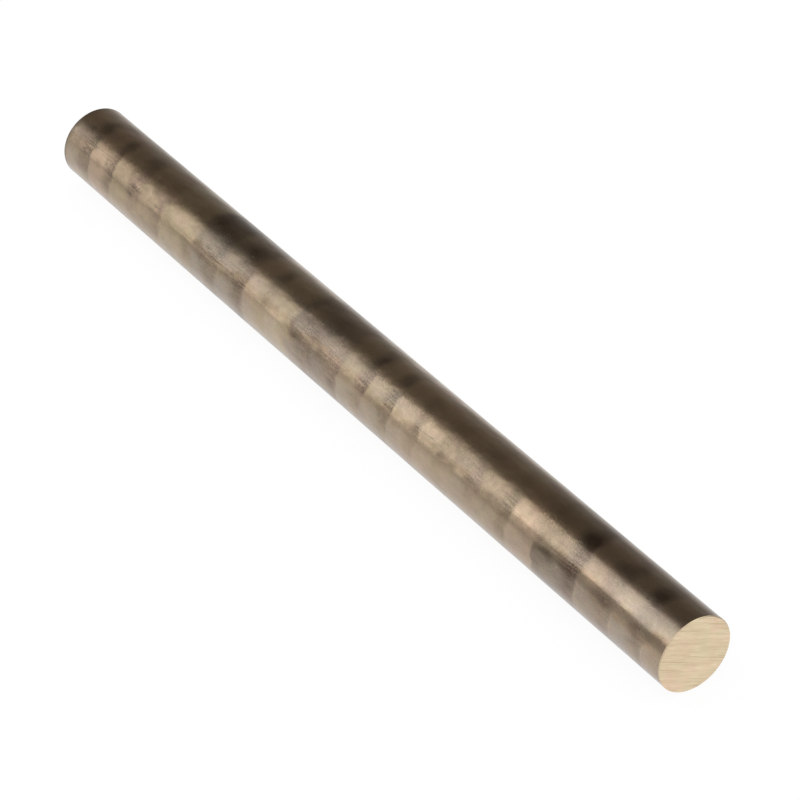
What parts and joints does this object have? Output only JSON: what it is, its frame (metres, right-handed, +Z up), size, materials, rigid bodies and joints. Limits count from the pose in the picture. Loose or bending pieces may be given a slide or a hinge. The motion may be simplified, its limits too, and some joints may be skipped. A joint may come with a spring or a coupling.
{
  "type": "round bronze bar",
  "caption": "Solid round bar of tarnished bronze stock, sawn square at both ends, for turning, bushing and shaft work.",
  "frame": {"origin": "on the floor line under the middle of the bar's length", "axes": "+X runs along the bar, towards the sawn end that faces the viewer, and the bar's own axis is 12.7 mm above it; +Z up; the bar lies on the plane Z = 0"},
  "size_m": [0.3302, 0.0254, 0.0254],
  "materials": {
    "bronze": "mill finish, mottled brown and straw tarnish on the round, fresh pale saw cut on the ends"
  },
  "bodies": {
    "root": {"round_bar": "bronze"}
  },
  "joints": []
}
